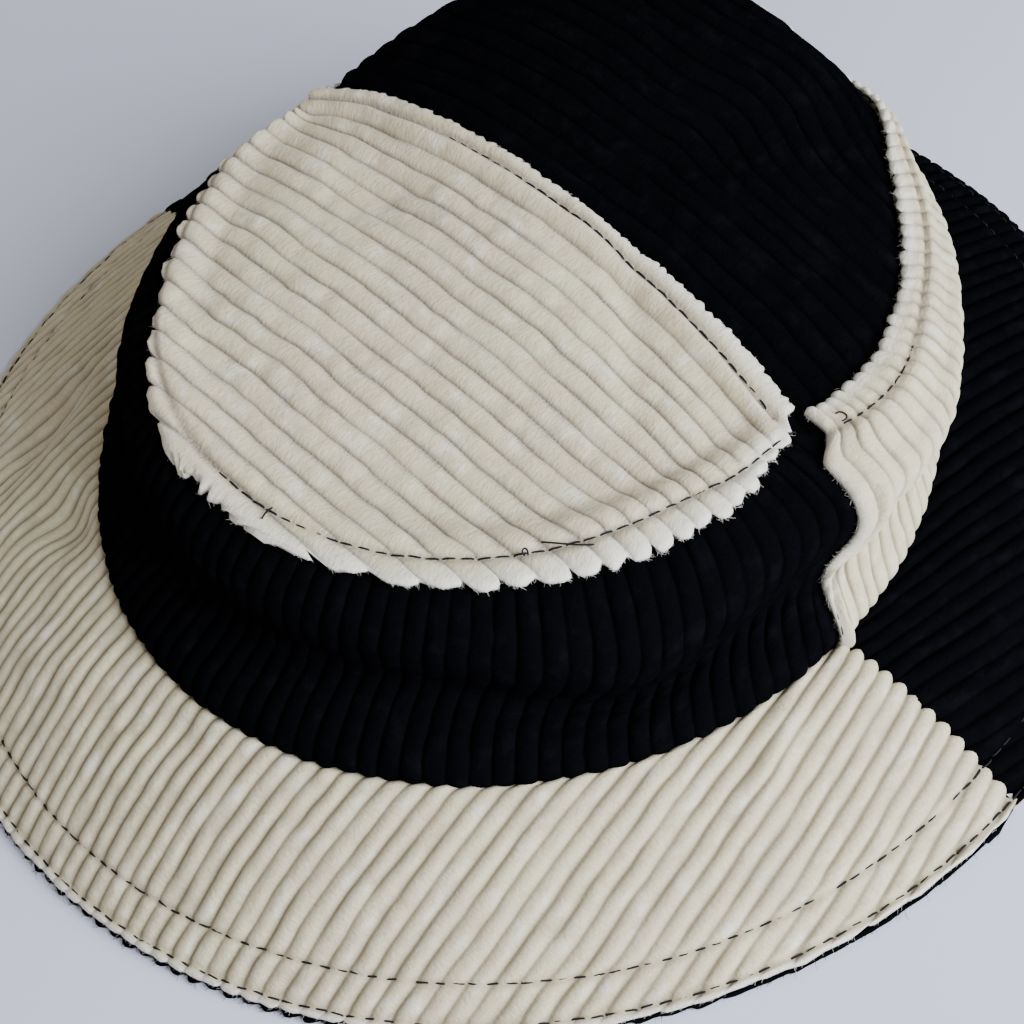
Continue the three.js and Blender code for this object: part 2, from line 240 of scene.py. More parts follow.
def soft_folds(x, y):
    """Small dents and swells in the slumped crown top, in millimetres."""
    dimple = -2.4 * near(np.hypot((x + 38) / 1.3, y + 17), 10)
    pleat = -0.9 * near((x - 33) * 0.6 + (y + 9) * 0.8, 4) * near(np.hypot(x - 33, y + 9), 24)
    pleat = pleat - 0.8 * near((x + 6) * 0.5 - (y + 46) * 0.86, 4) * near(np.hypot(x + 6, y + 46), 22)
    return dimple + pleat + 0.75 * noise(x / 27, y / 19, 5) + 0.3 * noise(x / 12, y / 9, 6)


def lay_crown(x, y):
    point, normal = lay(crown_point, x, y, 0.8, 0.8)
    inside = fade(TOP_RADIUS - 22, TOP_RADIUS - 4, np.hypot(x, y))
    return point + normal * (soft_folds(x, y) * inside)[..., None], normal


def lay_round(reach, angle):
    return lay_crown(reach * np.cos(angle), reach * np.sin(angle))


def brim_folds(angle, out):
    """Dents and a raised fold where the brim has been crushed, in millimetres."""
    degrees, down = (np.degrees(angle) + 180) % 360 - 180, out * BRIM_WIDTH
    height = 0
    # Each has its angle, its distance down the brim, its length, its width, its lean and its rise.
    for at, far, long, wide, lean, rise in (
        (-14, 9, 17, 3.2, 0.62, 1.5), (-122, 10, 12, 6.5, 0.4, -4.2), (-140, 20, 14, 6.0, -0.5, -3.8),
        (-104, 20, 16, 6.0, 0.7, 1.1), (-60, 24, 18, 6.0, 0.5, 0.9), (-38, 14, 14, 5.0, -0.3, -0.9),
        (-84, 8, 12, 6.0, 0.2, -1.0),
    ):
        a, b = np.radians(degrees - at) * 112, down - far
        along, across = a * math.cos(lean) - b * math.sin(lean), a * math.sin(lean) + b * math.cos(lean)
        height = height + rise * near(along, long) * near(across, wide)
    return height * smooth(0, 5, down) * fade(30, 44, down)


def lay_brim(angle, out):
    point, normal = lay(brim_point, angle, out, 0.01, 0.01, flip=-1)
    return point + normal * brim_folds(angle, out)[..., None], normal


# ---- wales ----------------------------------------------------------------------------
# Lines across one wale, as shares of its width. They crowd together near the groove.
WALE_STEPS = np.array([0, 0.03, 0.08, 0.16, 0.3, 0.5, 0.7, 0.84, 0.92, 0.97])
COARSE_STEPS = np.array([0, 0.07, 0.17, 0.32, 0.5, 0.68, 0.83, 0.93])
BACK_STRIDE = 3            # the back of a sheet has a line for every third line of its face
PLUMP, ROUND = (2.2, 0.64), (1.8, 0.8)      # power and root of a wale's outline: see ridge()
SHORTEST_FIBRE, LONGEST_FIBRE = 0.3, 1.5


def wale_lines(first, last, steps=WALE_STEPS):
    """Lines that follow the wales, with grooves at whole numbers and more lines near them."""
    lines = []
    low = math.floor(first)
    while low < last:
        wale = low + steps
        if low < first or low + 1 > last:
            start, end = max(low, first), min(low + 1, last)
            wale = lerp(start, end, np.arange(6) / 6)
        lines.extend(wale)
        low += 1
    return np.array(lines + [last])


def sheet_lines(first, last, steps=WALE_STEPS):
    """Wale lines for a sheet's face, short of those that the lines of its back don't reach."""
    lines = wale_lines(first, last, steps)
    return lines[:len(lines) - (len(lines) - 1) % BACK_STRIDE]


def from_middle(wale):
    """Distance from the middle of a wale, 0 on the ridge and 1 in the groove."""
    return np.abs(2 * (wale - np.floor(wale)) - 1)


def ridge(wale, profile=PLUMP):
    """Height of the pile across a wale, from 0 in the groove to 1 on the ridge."""
    power, root = profile
    return (1 - from_middle(wale) ** power) ** root


def pile(wale, along, seed, profile=PLUMP):
    """Height of the pile as it is worn: uneven along each wale, and a little tufted."""
    own, groove = np.floor(wale), np.floor(wale + 0.5)
    height = 0.88 + 0.24 * noise(along / 3.9, own * 7.3, seed)
    height = height + 0.06 * noise(along / 2.1, wale * 1.7, seed + 1)
    tuft = 0.05 * noise(along / 0.8, wale * 4.1, seed + 2)
    closed = 0.3 * smooth(-0.3, 0.7, noise(along / 12, groove * 5.3, seed + 3))
    return closed * 0.9 + (1 - closed) * ridge(wale, profile) * (height + tuft)


def wobble(wale, along, seed):
    """How far the wales wander sideways, in wales."""
    wide = 0.07 * noise(along / 17, wale / 4.5, seed) + 0.05 * noise(along / 7, wale / 1.6, seed + 2)
    return wide + 0.03 * noise(along / 3.5, wale / 1.1, seed + 1)


def rounded_end(distance, reach):
    """Falls from 1 to 0 over the last stretch before an end, as a quarter circle."""
    t = np.clip(distance / reach, 0, 1)
    return np.sqrt(np.maximum(0, 1 - (1 - t) ** 2))


def teeth(wale, seed, deep=1.1, ragged=0.5):
    """How far each wale's cut end stands out past the ground weave."""
    own, t = np.floor(wale), from_middle(wale)
    even = deep * (np.sqrt(1 - t**2) - 0.6)
    uneven = ragged * noise(own * 3.7, 0.5 * own, seed) * (1 - t**4)
    return even + uneven + 0.2 * noise(wale * 5, 0, seed + 1)


def scallops(along, length, deep, seed):
    """The wavy outline of a fluffy edge that runs along a wale."""
    turns = along / length + 0.35 * noise(along / (2.2 * length), 0, seed)
    size = deep * (0.75 + 0.35 * noise(np.floor(turns) * 3.1, 0, seed + 1))
    wave = size * (np.abs(np.sin(PI * turns)) ** 0.7 - 0.6)
    return wave + 0.3 * deep * noise(along * 1.6, 0, seed + 2)


# ---- meshes ---------------------------------------------------------------------------
def add_object(name, data):
    made = bpy.data.objects.new(name, data)
    bpy.context.scene.collection.objects.link(made)
    return made


class Shape:
    """Vertices, faces and the cloth numbers that a material reads, gathered for one mesh."""

    def __init__(self):
        self.points, self.cloth, self.edge = [], [], []
        self.faces = []
        self.count = 0

    def add(self, points, faces, cloth=None, edge=None):
        points = np.asarray(points, float).reshape(-1, 3)
        total = len(points)
        blank = np.tile([0.5, 0.0, 1.0], (total, 1))
        self.points.append(points)
        self.cloth.append(blank if cloth is None else np.asarray(cloth, float).reshape(-1, 3))
        self.edge.append(np.zeros(total) if edge is None else np.asarray(edge, float).ravel())
        for block in faces:
            self.faces.append(np.asarray(block) + self.count)
        self.count += total

    def build(self, name, look):
        material, slot = LOOKS[look]
        mesh = bpy.data.meshes.new(name)
        points = np.concatenate(self.points) * MM
        corners = np.concatenate([block.ravel() for block in self.faces])
        sizes = np.concatenate([np.full(len(b), b.shape[1]) for b in self.faces])
        starts = np.concatenate([[0], np.cumsum(sizes)[:-1]])
        mesh.vertices.add(len(points))
        mesh.vertices.foreach_set("co", points.ravel())
        mesh.loops.add(len(corners))
        mesh.loops.foreach_set("vertex_index", corners.astype(np.int32))
        mesh.polygons.add(len(sizes))
        mesh.polygons.foreach_set("loop_start", starts.astype(np.int32))
        mesh.polygons.foreach_set("use_smooth", np.ones(len(sizes), bool))
        cloth = mesh.attributes.new("cloth", "FLOAT_VECTOR", "POINT")
        cloth.data.foreach_set("vector", np.concatenate(self.cloth).ravel())
        edge = mesh.attributes.new("raw_edge", "FLOAT", "POINT")
        edge.data.foreach_set("value", np.concatenate(self.edge))
        mesh.update(calc_edges=True)
        mesh.materials.append(material)
        piece = add_object(name, mesh)
        return piece


def outline(rows, columns):
    """Grid places round a grid's border, in order."""
    first = [(0, j) for j in range(columns - 1)]
    second = [(i, columns - 1) for i in range(rows - 1)]
    third = [(rows - 1, j) for j in range(columns - 1, 0, -1)]
    fourth = [(i, 0) for i in range(rows - 1, 0, -1)]
    return np.array([i * columns + j for i, j in first + second + third + fourth])


def grid_faces(rows, columns):
    ids = np.arange(rows * columns).reshape(rows, columns)
    return np.stack([ids[:-1, :-1], ids[:-1, 1:], ids[1:, 1:], ids[1:, :-1]], -1).reshape(-1, 4)


def closed_sheet(shape, face, back, cloth=None, edge=None, stride=BACK_STRIDE):
    """A closed sheet: a fine face grid, a coarser back grid, and a wall round the border."""
    rows, columns = face.shape[:2]
    back = back[::stride, ::stride]
    back_rows, back_columns = back.shape[:2]
    total = rows * columns
    faces = grid_faces(rows, columns)
    backs = grid_faces(back_rows, back_columns)[:, ::-1] + total
    fine, coarse = outline(rows, columns), outline(back_rows, back_columns) + total
    steps = np.arange(len(coarse))
    wall = [fine[(steps * stride + k) % len(fine)] for k in range(stride, -1, -1)]
    wall = np.stack(wall + [coarse, coarse[(steps + 1) % len(coarse)]], -1)
    middle = face[rows // 2:rows // 2 + 2, columns // 2:columns // 2 + 2]
    turn = np.cross(middle[0, 1] - middle[0, 0], middle[1, 0] - middle[0, 0])
    through = back[back_rows // 2, back_columns // 2] - face[rows // 2, columns // 2]
    blocks = [faces, backs, wall]
    if np.dot(turn, through) > 0:
        blocks = [block[:, ::-1] for block in blocks]
    points = np.concatenate([face.reshape(-1, 3), back.reshape(-1, 3)])
    if cloth is not None:
        hidden = cloth[::stride, ::stride].reshape(-1, 3) * [1, 1, 0]
        cloth = np.concatenate([cloth.reshape(-1, 3), hidden])
    if edge is not None:
        edge = np.concatenate([edge.ravel(), edge[::stride, ::stride].ravel()])
    shape.add(points, blocks, cloth, edge)


def tube(shape, path, radius, sides=6, taper=0.0, edge=0.0):
    """A closed tube along a path, rounded by its end caps; taper thins it towards its end."""
    path = np.asarray(path, float)
    count = len(path)
    tangent = np.gradient(path, axis=0)
    tangent /= np.linalg.norm(tangent, axis=1, keepdims=True)
    aside = np.cross(tangent, [0.31, 0.52, 0.79])
    aside /= np.linalg.norm(aside, axis=1, keepdims=True)
    other = np.cross(tangent, aside)
    turn = np.arange(sides) * 2 * PI / sides
    width = radius * (1 - taper * np.linspace(0, 1, count))
    ring = aside[:, None] * np.cos(turn)[None, :, None] + other[:, None] * np.sin(turn)[None, :, None]
    points = path[:, None] + ring * width[:, None, None]
    ids = np.arange(count * sides).reshape(count, sides)
    after = np.roll(ids, -1, axis=1)
    walls = np.stack([ids[:-1], after[:-1], after[1:], ids[1:]], -1).reshape(-1, 4)
    caps = np.stack([ids[0][::-1], ids[-1]])
    shape.add(points, [walls, caps], edge=np.full(count * sides, edge))


def fibres(shape, roots, normals, outward, lengths, seed, radius=0.03):
    """Loose fibres that stand out of a raw edge, each a thin curling strand."""
    draw = np.random.default_rng(seed)
    for root, normal, way, length in zip(roots, normals, outward, lengths):
        side = np.cross(normal, way)
        lean = way + 0.5 * draw.normal() * side + (0.15 + 0.35 * draw.normal()) * normal
        lean /= np.linalg.norm(lean)
        bend = 0.9 * draw.normal() * side + 0.5 * draw.normal() * normal - 0.25 * normal
        t = np.linspace(0, 1, 4)[:, None]
        path = root - 0.3 * lean + length * (t * lean + 0.5 * t**2 * bend)
        path[:, 2] = np.maximum(path[:, 2], 0.1)
        tube(shape, path, radius * draw.uniform(0.8, 1.5), sides=3, taper=0.6, edge=1.0)


# ---- materials ------------------------------------------------------------------------
class Nodes:
    """Short hand for building one material's node tree."""

    def __init__(self, name):
        self.material = bpy.data.materials.new(name)
        self.material.use_nodes = True
        self.tree = self.material.node_tree
        self.shader = self.tree.nodes["Principled BSDF"]

    def put(self, socket, value):
        if hasattr(value, "is_output"):
            self.tree.links.new(value, socket)
        elif value is not None:
            socket.default_value = value

    def node(self, kind, inputs=None, **settings):
        """A new node. inputs gives a value, or another node's output, for each named input."""
        made = self.tree.nodes.new(kind)
        for key, value in settings.items():
            setattr(made, key, value)
        for key, value in (inputs or {}).items():
            self.put(made.inputs[key], value)
        return made

    def math(self, operation, a, b=0.0):
        return self.node("ShaderNodeMath", {0: a, 1: b}, operation=operation).outputs[0]

    def mix(self, share, a, b, blend="MIX"):
        inputs = {"Factor": share, "A": a, "B": b}
        return self.node("ShaderNodeMix", inputs, data_type="RGBA", blend_type=blend).outputs["Result"]

    def ramp(self, value, low, high, out_low=0.0, out_high=1.0):
        inputs = {"Value": value, "From Min": low, "From Max": high, "To Min": out_low, "To Max": out_high}
        return self.node("ShaderNodeMapRange", inputs, interpolation_type="SMOOTHSTEP").outputs["Result"]

    def noise(self, vector, scale, detail=2.0, rough=0.5):
        inputs = {"Vector": vector, "Scale": scale, "Detail": detail, "Roughness": rough}
        return self.node("ShaderNodeTexNoise", inputs).outputs["Fac"]

    def attribute(self, name):
        return self.node("ShaderNodeAttribute", attribute_name=name)

    def place(self):
        return self.node("ShaderNodeTexCoord").outputs["Object"]

    def cloth(self):
        """A mesh's cloth numbers, together and then one by one."""
        together = self.attribute("cloth").outputs["Vector"]
        return together, *self.node("ShaderNodeSeparateXYZ", {0: together}).outputs

    def stretch(self, vector, scale):
        return self.node("ShaderNodeVectorMath", {0: vector, 1: scale}, operation="MULTIPLY").outputs[0]

    def bump(self, height, strength, distance, normal=None):
        inputs = {"Strength": strength, "Distance": distance, "Height": height, "Normal": normal}
        return self.node("ShaderNodeBump", inputs).outputs["Normal"]

    def finish(self, colour, roughness, normal=None, **fixed):
        for name, value in dict(Base_Color=colour, Roughness=roughness, Normal=normal, **fixed).items():
            self.put(self.shader.inputs[name.replace("_", " ")], value)
        return self.material


def corduroy(name, ridge_colours, groove_colour, tick_colour, raw_colour, groove_height, comb_highlight, gloss):
    """Corduroy: cut pile on a ground weave.

    The ground colour blends in where the pile is lower than groove_height: at the bottom of the groove it is
    the ground's own colour, and up the flanks it is painted shade of the recess. The next argument sets the
    ticks beside the grooves, which are partly combed pile and partly painted highlight on the flank that
    faces the light. gloss is the strength of the pile's sheen.
    """
    n = Nodes(name)
    cloth, wale, along, height = n.cloth()
    place = n.place()
    # Crushed and brushed patches of pile change its shade and hue.
    broad = n.noise(place, 42, 3.0)
    patch = n.noise(n.stretch(cloth, (0.9, 0.2, 0)), 1.0, 3.0, 0.6)
    brushed = n.noise(n.stretch(cloth, (0.45, 0.07, 0)), 1.7, 2.0, 0.6)
    tuft = n.noise(n.stretch(cloth, (3.2, 1.3, 0)), 1.0, 3.0, 0.65)
    base, beige, yellow, white = ridge_colours
    colour = n.mix(n.ramp(broad, 0.38, 0.62), base, yellow)
    colour = n.mix(n.ramp(patch, 0.5, 0.72), colour, beige)
    colour = n.mix(n.ramp(brushed, 0.52, 0.74), colour, white)
    shade = n.ramp(tuft, 0.25, 0.75, 0.9, 1.05)
    grey = n.node("ShaderNodeCombineColor", {0: shade, 1: shade, 2: shade})
    colour = n.mix(1.0, colour, grey.outputs[0], "MULTIPLY")
    # Pile leaning over a groove shows as a comb of fine ticks along one side of it. Their light colour is
    # partly the comb itself and partly painted highlight on the flank that faces the light.
    across = n.math("FRACT", wale)
    strip = n.math("MULTIPLY", n.ramp(across, 0.0, 0.05), n.ramp(across, 0.13, 0.24, 1.0, 0.0))
    strip = n.math("MULTIPLY", strip, n.ramp(n.noise(n.stretch(cloth, (0.6, 0.05, 0)), 1.3), 0.48, 0.6))
    comb = n.math("ADD", n.math("MULTIPLY", along, 10.5), n.math("MULTIPLY", tuft, 5.0))
    comb = n.ramp(n.math("SINE", comb), -0.4, 0.5)
    colour = n.mix(n.math("MULTIPLY", strip, comb_highlight), colour, n.mix(comb, groove_colour, tick_colour))
    # The ground weave shows in the groove, and the groove colour that reaches up the flanks is painted shade
    # of the recess.
    depth = n.ramp(height, 0.05, groove_height, 1.0, 0.0)
    weave = n.ramp(n.noise(n.stretch(cloth, (6.0, 2.4, 0)), 1.0, 2.0), 0.35, 0.7, 0.0, 0.35)
    colour = n.mix(depth, colour, n.mix(weave, groove_colour, tick_colour))
    raw = n.math("MULTIPLY", n.attribute("raw_edge").outputs["Fac"], n.ramp(tuft, 0.2, 0.6, 0.6, 1.0))
    colour = n.mix(raw, colour, raw_colour)
    # Fine fibre ends.
    fibre = n.noise(place, 2600, 3.0, 0.7)
    normal = n.bump(fibre, 0.4, 0.0003)
    normal = n.bump(tuft, 0.5, 0.0006, normal)
    rough = n.ramp(fibre, 0.3, 0.7, 0.85, 0.98)
    return n.finish(colour, rough, normal, Sheen_Weight=gloss, Sheen_Roughness=0.5,
                    Sheen_Tint=(1.0, 0.98, 0.94, 1), Specular_IOR_Level=0.5 * gloss)


def plain_weave(name, warp_colour, weft_colour, size, roughness):
    """Plain woven cloth, with warp and weft threads of the given spacing in metres."""
    n = Nodes(name)
    _, across, along, _ = n.cloth()
    turns = 2 * PI * MM / size
    warp = n.math("SINE", n.math("MULTIPLY", across, turns))
    weft = n.math("SINE", n.math("MULTIPLY", along, turns))
    over = n.math("MULTIPLY", warp, weft)
    slub = n.noise(n.place(), 300, 3.0, 0.6)
    colour = n.mix(n.ramp(over, -0.6, 0.6), warp_colour, weft_colour)
    colour = n.mix(n.ramp(slub, 0.3, 0.8, 0.0, 0.45), colour, weft_colour)
    normal = n.bump(over, 0.4, 0.0002)
    rough = n.ramp(slub, 0.3, 0.7, roughness - 0.06, roughness + 0.06)
    return n.finish(colour, rough, normal, Sheen_Weight=0.15, Specular_IOR_Level=0.3)


def twill(name, dark, light, size):
    """Twill tape: slanting ribs across a narrow woven band."""
    n = Nodes(name)
    _, along, across, _ = n.cloth()
    turns = 2 * PI * MM / size
    slant = n.math("ADD", along, n.math("MULTIPLY", across, 1.3))
    rib = n.math("SINE", n.math("MULTIPLY", slant, turns))
    wear = n.noise(n.place(), 180, 4.0, 0.6)
    colour = n.mix(n.ramp(rib, -0.5, 0.7), dark, light)
    colour = n.mix(n.ramp(wear, 0.5, 0.8, 0.0, 0.5), colour, light)
    normal = n.bump(rib, 0.6, 0.0003)
    rough = n.ramp(wear, 0.3, 0.7, 0.6, 0.75)
    return n.finish(colour, rough, normal, Sheen_Weight=0.1)


def flecked(name, dark, light, stretch, scale, detail, rough, relief, roughness, **fixed):
    """Short fibres, twisted into a thread or bonded flat into a stiffener."""
    n = Nodes(name)
    fleck = n.noise(n.stretch(n.place(), stretch), scale, detail, rough)
    colour = n.mix(n.ramp(fleck, 0.35, 0.7), dark, light)
    normal = n.bump(fleck, relief, 0.0002)
    return n.finish(colour, n.ramp(fleck, 0.3, 0.7, *roughness), normal, **fixed)


CREAM_LOOK = ((0.58, 0.51, 0.355, 1), (0.56, 0.46, 0.315, 1), (0.60, 0.545, 0.36, 1), (0.68, 0.64, 0.51, 1))
# Fuzz at the raw edges, whiter than the cream: partly the fibres' own colour and partly painted highlight.
WHITE_FUZZ = (0.69, 0.66, 0.57, 1)
BLACK_LOOK = ((0.0018, 0.0019, 0.0026, 1), (0.0024, 0.0024, 0.003, 1), (0.0016, 0.0018, 0.0024, 1),
              (0.003, 0.0031, 0.0042, 1))

# A look is a material and the slot that it stands for. Each corduroy's groove colour, spread up to a high
# groove height, is partly painted shade, and the cream's tick colour is partly painted highlight.
LOOKS = {
    "cream": (corduroy("cream_corduroy", CREAM_LOOK, (0.22, 0.18, 0.12, 1), (0.66, 0.65, 0.62, 1),
                       WHITE_FUZZ, 0.82, 0.6, 0.15), "cream_corduroy"),
    "cream_brim": (corduroy("cream_brim_corduroy", CREAM_LOOK, (0.25, 0.21, 0.14, 1), (0.36, 0.33, 0.25, 1),
                            WHITE_FUZZ, 0.84, 0.0, 0.15), "cream_corduroy"),
    "black": (corduroy("black_corduroy", BLACK_LOOK, (0.0008, 0.0008, 0.001, 1), (0.002, 0.002, 0.0026, 1),
                       (0.003, 0.003, 0.0035, 1), 0.5, 0.0, 0.0), "black_corduroy"),
    "cotton": (plain_weave("black_cotton", (0.022, 0.022, 0.026, 1), (0.05, 0.05, 0.056, 1), 0.0007, 0.85),
               "cotton_lining"),
    "twill": (twill("black_twill", (0.012, 0.012, 0.015, 1), (0.045, 0.045, 0.052, 1), 0.0014), "twill_tape"),
    "thread": (flecked("black_thread", (0.003, 0.003, 0.004, 1), (0.012, 0.012, 0.015, 1), (1, 1, 2), 1800,
                       2.0, 0.5, 0.5, (0.5, 0.7), Specular_IOR_Level=0.15), "black_thread"),
    "felt": (flecked("interfacing", (0.55, 0.54, 0.51, 1), (0.68, 0.67, 0.64, 1), (1, 1, 1), 900,
                     4.0, 0.7, 0.4, (0.82, 0.95)), "interfacing"),
}


# ---- where things go ------------------------------------------------------------------
def on_body(piece, *nodes):
    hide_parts(*nodes)
    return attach(piece, "hat_body")


def on_top(piece, *nodes):
    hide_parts(*nodes)
    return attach(piece, "crown_top")


def between(piece, *nodes):
    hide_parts(*nodes)
    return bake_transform(piece)


def lapped(reach, seam_away):
    """Lift of a lapped edge: full past a seam, and none once it is well inside the panel."""
    return LIFT * (1 - (1 - reach) * (1 - seam_away))


def sewn_down(distance):
    """How hard a stitch row pulls the pile down at a distance from it, from 0 to 1."""
    return near(distance, 0.75)


def corduroy_sheet(name, look, laid, lift, wale, along, height, edge, loose=()):
    """A corduroy sheet from its laid points: ground weave below, pile of that height above.

    loose lists the fibres along its borders, as edge_fibres takes them.
    """
    shape = Shape()
    point, normal = laid
    top = lift - PILE * (1 - height)
    face = point + normal * top[..., None]
    back = point + normal * (lift - CLOTH)[..., None]
    cloth = np.stack([wale, along, np.clip(height, 0, 1.2)], -1)
    closed_sheet(shape, face, back, cloth, edge)
    for fringe in loose:
        edge_fibres(shape, face, normal, *fringe)
    return shape.build(name, look)


def plain_sheet(name, look, face, back, across, along):
    """A smooth sheet between two laid faces."""
    shape = Shape()
    closed_sheet(shape, face, back, np.stack([across, along, 0 * along + 1], -1))
    return shape.build(name, look)


# Rows of a sheet's grid at each border, and just inside it.
BORDERS = {"left": ((slice(None), 0), (slice(None), 2)), "right": ((slice(None), -1), (slice(None), -3)),
           "first": (0, 2), "last": (-1, -3)}


def edge_fibres(shape, face, normal, count, seed, border, long=0.6, radius=0.03):
    """Adds fibres along one border of a sheet."""
    lines, inner = BORDERS[border]
    rim, within, up = face[lines], face[inner], normal[lines]
    draw = np.random.default_rng(seed)
    spot = draw.uniform(0, len(rim) - 1.001, count)
    low = spot.astype(int)
    share = (spot - low)[:, None]
    roots = rim[low] * (1 - share) + rim[low + 1] * share
    way = roots - (within[low] * (1 - share) + within[low + 1] * share)
    way /= np.linalg.norm(way, axis=1, keepdims=True) + 1e-9
    roots = roots - up[low] * draw.uniform(0.1, 0.9, (count, 1))
    lengths = np.minimum(draw.gamma(2.0, long / 4, count) + SHORTEST_FIBRE, LONGEST_FIBRE)
    fibres(shape, roots, up[low], way, lengths, seed + 1, radius)


# ---- crown top ------------------------------------------------------------------------
TOP_COLUMNS = 339
RAW_RADIUS = TOP_RADIUS + LAP
STRIP_WALES = 0.94         # wales of the lap strip along the centre seam
STRIP_END = TOP_RADIUS - 7


def cornering(y):
    """How near a place is to the side seams, from 0 to 1."""
    return fade(0, 22, np.abs(y))


def front_row(y):
    """Radius of the stitch row round the cream half of the top."""
    return TOP_RADIUS + 1.2 - 3.6 * cornering(y)


def top_row(wale):
    """Distance of a wale of the crown top from the centre seam."""
    return PITCH * wale - TIGHTENING * np.maximum(wale, 0) ** 2


def last_wale(distance):
    """The wale that lies at a distance from the centre seam."""
    return (PITCH - math.sqrt(PITCH**2 - 4 * TIGHTENING * distance)) / (2 * TIGHTENING)


def dragged(x, y):
    """How far along Y the slumped cloth has been dragged at a flat place of the top."""
    left = 6 * np.clip((-x - 8) / 62, 0, 1.2) ** 1.8 * np.clip(1 + y / 62, 0, 1)
    left = left * lerp(0.3, 1, smooth(0, 12, -y))
    right = np.clip((x - 10) / 50, 0, 1.3) ** 1.5 * lerp(-3, 3, np.clip(-y / 50, 0, 1))
    return (left + right) * fade(0, 40, y)


def half_top(wales, end_at, side, seed):
    """Flat places of half the crown top. Wales run from side to side, along X."""
    wale = wales[:, None] * np.ones(TOP_COLUMNS + 1)
    across = np.linspace(-1, 1, TOP_COLUMNS + 1)[None, :] * np.ones((len(wales), 1))
    even = side * top_row(wales)
    ends = []
    for way in (-1, 1):
        stop = end_at(even, wales, way)
        for _ in range(4):
            stop = end_at(even + dragged(way * stop, even), wales, way)
        ends.append(stop[:, None])
    end = np.where(across < 0, ends[0], ends[1])
    x = across * end
    y = even[:, None] + dragged(x, even[:, None])
    y = y + wobble(wale, x, seed) * PITCH * fade(0.93, 1, np.abs(across))
    return wale, x, y, end - np.abs(x), side * even[:, None] + 0 * x


def cream_end(y, wales, side):
    """Where the cream half's raw edge cuts each line. Far from the middle it cuts them slantwise."""
    middle = y + top_row(wales) - top_row(np.floor(wales) + 0.5)
    stepping = lerp(0.55, 0.28, smooth(34, 66, np.abs(y)))
    stepped = lerp(y, np.clip(middle, 1 - RAW_RADIUS, 0), stepping)
    arc = np.sqrt(np.maximum(RAW_RADIUS**2 - stepped**2, 60)) - 7.5 * cornering(stepped * 0.85)
    if side < 0:
        arc = arc - (3.5 + 2.6 * near(stepped + 64, 12)) * smooth(-82, -72, stepped)
    slant = np.minimum(RAW_RADIUS / arc, 3.2 if side > 0 else 1.8)
    arc = arc + slant * teeth(wales, 11 + 7 * side) + 0.5 * (slant - 1) * noise(wales * 7, 0, 17)
    return lerp(arc, STRIP_END + 0.6 * teeth(wales, 12 - 5 * side), smooth(-0.1, -0.5, wales))


def make_top_cream():
    wales = sheet_lines(-STRIP_WALES, last_wale(RAW_RADIUS - 0.5))
    wale, x, y, to_end, row = half_top(wales, cream_end, -1, 11)
    strip = np.clip(-wale / STRIP_WALES, 0, 1)
    y = y + np.minimum(row, 0) * 0.24 * fade(15, 50, x)
    y = y - 4 * smooth(48, 78, -x) * fade(4, 16, row)
    y = y + scallops(x, 2.7, 0.9, 35) * smooth(0.6, 1, strip)
    front = smooth(wales[-1] - 0.5, wales[-1], wale)
    y = y - (1.0 * noise(x / 1.3, 0, 36) + 0.5) * front
    reach = np.hypot(x, y)
    inward = 4 * cornering(y)
    round_seam = smooth(TOP_RADIUS - 8 - inward, TOP_RADIUS - 1 - inward, reach)
    lift = lapped(round_seam, smooth(7, 1, row))
    round_row = sewn_down(reach - front_row(y)) * (row > 2)
    seam_row = sewn_down(row) * (np.abs(x) < STRIP_END)
    pull = np.maximum(round_row, seam_row)
    height = pile(wale, x, 21) * (1 - TOP_PULL[0] * pull)
    to_side = np.minimum((STRIP_WALES + wale) * PITCH, (wales[-1] - wale) * PITCH)
    to_raw = to_end * (to_end + np.abs(x)) / RAW_RADIUS
    height = height * rounded_end(to_raw, 1.2) * rounded_end(to_side + 0.05, 1.3)
    loose_end = smooth(1, LAP, reach - front_row(y))
    lift = lift - TOP_PULL[1] * pull + loose_end * (0.1 + 0.4 * noise(wale * 0.9, x / 40, 33))
    lift = lift - 0.35 * smooth(0.5, 1, strip) + 0.3 * smooth(0.3, 1, strip) * noise(x / 9, 0, 37)
    # Raw edges are whitened fully on the right, lit side and only slightly on the shaded left: this
    # side-to-side change is painted highlight and shade.
    edge = fade(0.3, 4, np.minimum(to_raw, to_side)) * lerp(0.15, 1, smooth(-30, 25, x))
    loose = ((650, 101, "left"), (650, 102, "right"), (450, 103, "first", 0.5), (90, 104, "last"))
    piece = corduroy_sheet("crown_top_cream_cloth", "cream", lay_crown(x, y), lift, wale, x, height, edge,
                           loose)
    return on_top(piece, "crown_top_cream")


def black_end(y, wales, side):
    """Where the black half ends, at the seam round the top."""
    radius = TOP_RADIUS - 0.3
    arc = np.sqrt(np.maximum(radius**2 - np.clip(y, 0, radius - 1) ** 2, 36))
    return arc + 0.3 * teeth(wales, 15 + side)


def make_top_black():
    wales = sheet_lines(0.06, last_wale(TOP_RADIUS - 0.7), COARSE_STEPS)
    wale, x, y, to_end, row = half_top(wales, black_end, 1, 15)
    reach = np.hypot(x, y)
    pressed = np.maximum(smooth(TOP_RADIUS - 8, TOP_RADIUS - 4, reach), fade(4.5, 7, row))
    height = pile(wale, x, 25) * (1 - 0.45 * pressed) * rounded_end(to_end, 1.2)
    lift = -0.25 * pressed
    edge = fade(0.3, 2, to_end)
    piece = corduroy_sheet("crown_top_black_cloth", "black", lay_crown(x, y), lift, wale, x, height, edge)
    return on_top(piece, "crown_top_black")


# ---- side band ------------------------------------------------------------------------
BAND_ROWS = 99
BAND_FOOT = FOOT + 1.5     # the band's foot dips below the brim's face


def turned_foot(reach):
    """How far the band's foot turns in, into the brim seam."""
    return -0.7 * np.clip(1 - (BAND_FOOT - reach) / 2.6, 0, 1) ** 2


